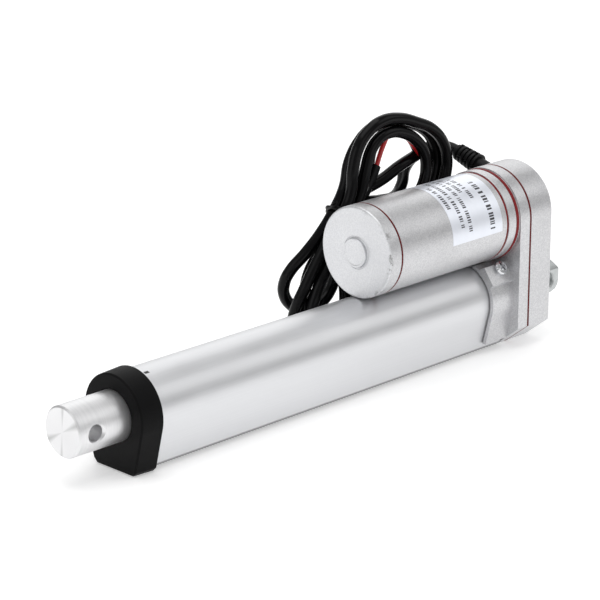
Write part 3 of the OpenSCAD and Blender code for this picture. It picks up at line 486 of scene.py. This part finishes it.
looks = {
    **metal_looks,
    "painted_silver": paint,
    "gasket_red": moulded("red_gasket", (0.26, 0.009, 0.012), (0.13, 0.005, 0.007), 0.6, 1200,
                          Specular_IOR_Level=0.25),
    "cap_plastic": moulded("black_cap", (0.004, 0.004, 0.0044), (0.0024, 0.0024, 0.0026), 0.5, 1500, 0.00005,
                           Specular_IOR_Level=0.085),
    "cable_black": cable_black,
    "gland_black": gland_rubber,
    "lead_red": red_pvc,
    "lead_black": black_pvc,
    "nylon": moulded("natural_nylon", (0.82, 0.80, 0.72), (0.70, 0.68, 0.60), 0.45, Subsurface_Weight=0.08),
    "seal_black": moulded("seal_rubber", (0.02, 0.02, 0.02), (0.01, 0.01, 0.01), 0.5),
    "board_green": moulded("printed_board", (0.03, 0.2, 0.08), (0.015, 0.12, 0.045), 0.35),
    "switch_black": moulded("switch_case", (0.045, 0.045, 0.05), (0.025, 0.025, 0.03), 0.5),
    "plunger_ivory": moulded("plunger", (0.78, 0.74, 0.62), (0.66, 0.62, 0.5), 0.4),
    "lead_blue": moulded("blue_pvc", (0.02, 0.05, 0.42), (0.012, 0.03, 0.28), 0.35),
    "carbon": moulded("carbon_brush", (0.04, 0.04, 0.04), (0.018, 0.018, 0.018), 0.55),
    "holder_brown": moulded("phenolic", (0.11, 0.06, 0.03), (0.06, 0.03, 0.015), 0.45),
    "label_silver": moulded("label_film", (0.88, 0.91, 0.98), (0.82, 0.85, 0.92), 0.32, 400, 0.00001, metal=0.45,
                            Coat_Weight=0.3, Coat_Roughness=0.15),
}


def turned_face_painted_sheen():
    """The rod's end: fine turning rings as bumps, and dark sectors fanning out from the centre, painted into the
    colour as the reflection a lathe-turned face shows.
    """
    n = Nodes("turned_face_painted_sheen")
    x, y, z = n.apart()
    radius = n.math("SQRT", n.math("ADD", n.math("MULTIPLY", y, y), n.math("MULTIPLY", z, z)))
    turn = n.math("ARCTAN2", z, y)
    # Painted reflection: dark sectors fanning from the centre, standing in for the turned face's anisotropic sheen.
    painted_sheen_wedges = 0.0
    for angle, wide, deep in ((30, 0.22, 0.75), (86, 0.12, 0.55), (206, 0.10, 0.35)):
        near = n.math("ABSOLUTE", n.math("SINE", n.math("SUBTRACT", turn, math.radians(angle))))
        painted_sheen_wedge = n.math("MULTIPLY", n.span(near, wide, 0.01), deep)
        painted_sheen_wedges = n.math("MAXIMUM", painted_sheen_wedges, painted_sheen_wedge)
    painted_sheen_wedges = n.math("MULTIPLY", painted_sheen_wedges, n.span(radius, 0.0, 0.008, 0.35, 1.0))
    on_face = n.span(x, 0.26295, 0.26305)
    lines = n.noise(1, 3, n.stretched(2600, 30, 30))
    tone = n.blend(n.span(lines, 0.3, 0.7), (0.76, 0.76, 0.77), (0.84, 0.84, 0.845))
    tone = n.blend(n.math("MULTIPLY", painted_sheen_wedges, on_face), tone, (0.42, 0.425, 0.42))
    rings = n.math("SINE", n.math("MULTIPLY", radius, 2 * math.pi / 0.0003))
    tangent = n.tree.nodes.new("ShaderNodeTangent")
    tangent.direction_type, tangent.axis = "RADIAL", "X"
    n.give(n.shader.inputs["Tangent"], tangent.outputs[0])
    return n.finish(tone, n.span(n.noise(300, 3), 0.3, 0.7, 0.34, 0.4),
                    n.bump(n.math("MULTIPLY_ADD", rings, 0.8, lines), 0.000006, 1.0), 0.9, Anisotropic=0.4)


dark_gasket = moulded("dark_red_gasket", (0.15, 0.005, 0.007), (0.08, 0.003, 0.004), 0.6, 1200,
                      Specular_IOR_Level=0.2)
own_looks = {
    "rod_end": turned_face_painted_sheen(),
    "cover_gasket": dark_gasket,
    "sleeve_front_gasket": dark_gasket,
}
for part in frame["record"]["subparts"]:
    node = frame["nodes"][part["node"]]
    look = own_looks.get(part["node"], looks[part["material_slot"]])
    if not node.material_slots:
        node.data.materials.append(look)
    for slot in node.material_slots:
        slot.material = look


def soften(node, width, angle=32):
    """Rounds a CAD node's edges a little with modifiers; its own mesh stays as it is."""
    piece = frame["nodes"][node]
    piece.modifiers.new("weld", "WELD").merge_threshold = 1e-6
    bevel = piece.modifiers.new("bevel", "BEVEL")
    bevel.width = width * MM
    bevel.segments = 2
    bevel.limit_method = "ANGLE"
    bevel.angle_limit = math.radians(angle)
    bevel.use_clamp_overlap = True
    piece.modifiers.new("normals", "WEIGHTED_NORMAL").keep_sharp = False


for node, width in (("gearbox_cover", 0.25), ("gearbox_housing", 0.25), ("rear_clevis", 0.3), ("front_cap", 0.3),
                    ("rod_end", 0.12), ("motor_front_plate", 0.2), ("motor_sleeve", 0.15)):
    soften(node, width)

# ---------------------------------------------------------------- motor end cap
profile = [(103.3, 16.2), (103.3, 18.6), (103.45, 18.9), (109.6, 18.9), (109.6, 17.6), (109.6, 7.1), (109.6, 6.9),
           (109.35, 6.75), (109.35, 6.35), (109.6, 6.05), (109.8, 6.05), (110.9, 6.05), (110.9, 5.3), (110.9, 5.1),
           (110.75, 4.9), (110.75, 4.7), (110.75, 0)]
profile = rounded(profile, 11, 0.35)
profile = rounded(profile, 3, 0.9, 6)
points, faces = lathe(profile, 128, on_axis(MOTOR_Z))
meshed("end_cap_shell", points, faces, cap_paint, "housing", "painted_silver", ["motor_end_cap"], 50)

# ---------------------------------------------------------------- label: plain film with generic ruled marks
LABEL_X = (42.4, 72.8)
LABEL_TURN = (-4.0, 131.0)
LABEL_R = 18.9


def wrapped(x0, x1, turn0, turn1, r0, r1, steps):
    """A thin block bent round the motor, from turn0 to turn1 degrees: its points and faces."""
    points, faces = [], []
    for k in range(steps + 1):
        a = math.radians(turn0 + (turn1 - turn0) * k / steps)
        for x, r in ((x0, r0), (x1, r0), (x1, r1), (x0, r1)):
            points.append((x, r * math.cos(a), MOTOR_Z + r * math.sin(a)))
        if k:
            b = 4 * (k - 1)
            faces += [[b + i, b + (i + 1) % 4, b + 4 + (i + 1) % 4, b + 4 + i] for i in range(4)]
    last = 4 * steps
    return points, faces + [[3, 2, 1, 0], [last, last + 1, last + 2, last + 3]]


def together(parts):
    """Several (points, faces) as one."""
    points, faces = [], []
    for more, sides in parts:
        faces += [[i + len(points) for i in face] for face in sides]
        points += more
    return points, faces


film = wrapped(*LABEL_X, *LABEL_TURN, LABEL_R + 0.005, LABEL_R + 0.085, 90)
meshed("label_film_sheet", *film, looks["label_silver"], "housing", "label_silver", ["rating_label"], 30)


def ruled_marks():
    """A heading bar and five rows of short bars: a form with nothing written on it."""
    blocks = []
    for x, height, first, last in ((48.4, 2.8, 3, 73), (54.6, 2.0, 48, 92), (58.1, 2.0, 60, 100), (61.8, 2.0, 8, 104),
                                   (66.2, 2.0, 15, 100), (70.2, 2.0, 42, 84)):
        turn = first
        while turn < last:
            wide = rng.uniform(1.0, 2.3) * (1.4 if height > 2 else 1)
            blocks.append(wrapped(x - height / 2, x + height / 2, turn, min(turn + wide, last), LABEL_R + 0.08,
                                  LABEL_R + 0.097, 3))
            turn += wide + rng.choice((1.0, 1.2, 1.5, 3.8))
    return together(blocks)


ink = moulded("label_ink", (0.05, 0.05, 0.06), (0.02, 0.02, 0.025), 0.4, 1500, 0.00001)
meshed("label_ruled_marks", *ruled_marks(), ink, "housing", "label_silver")

# ---------------------------------------------------------------- floor and light
floor = bpy.data.meshes.new("floor")
reach = 6.0
corners = [(-reach, -reach, 0), (reach, -reach, 0), (reach, reach, 0), (-reach, reach, 0)]
floor.from_pydata(corners, [], [(0, 1, 2, 3)])
ground = bpy.data.objects.new("floor", floor)
ground.location.z = FLOOR_Z * MM - 0.0001
bpy.context.scene.collection.objects.link(ground)
n = Nodes("pale_floor")
pale = n.blend(n.noise(3), (0.84, 0.84, 0.84), (0.86, 0.86, 0.86))
floor.materials.append(n.finish(pale, 0.6, Specular_IOR_Level=0.1, Emission_Color=(1, 1, 1, 1),
                                Emission_Strength=0.36))


def soft_box(name, place, aim, size, power, tall=None):
    light = bpy.data.lights.new(name, "AREA")
    light.energy = power
    light.shape = "RECTANGLE"
    light.size, light.size_y = size, tall or size
    lamp = bpy.data.objects.new(name, light)
    lamp.location = place
    lamp.rotation_mode = "QUATERNION"
    lamp.rotation_quaternion = (Vector(aim) - Vector(place)).to_track_quat("-Z", "Y")
    bpy.context.scene.collection.objects.link(lamp)


CENTRE = (0.13, 0, 0.02)
soft_box("overhead", (0.15, -0.05, 1.9), (0.05, -0.05, 0), 1.9, 20)
soft_box("front_left", (1.5, -0.1, 0.55), CENTRE, 1.1, 3.6)
soft_box("right", (-0.85, 0.75, 0.85), CENTRE, 0.75, 1.5)
soft_box("backdrop", (-1.3, -1.15, 0.95), CENTRE, 1.8, 7.6, 1.5)
soft_box("front_right", (0.1, 1.4, 0.5), CENTRE, 0.9, 2.0)
world = bpy.data.worlds.new("studio")
world.use_nodes = True
world.node_tree.nodes["Background"].inputs["Color"].default_value = (1, 1, 1, 1)
world.node_tree.nodes["Background"].inputs["Strength"].default_value = 0.4
bpy.context.scene.world = world
bpy.context.scene.view_settings.view_transform = "Standard"
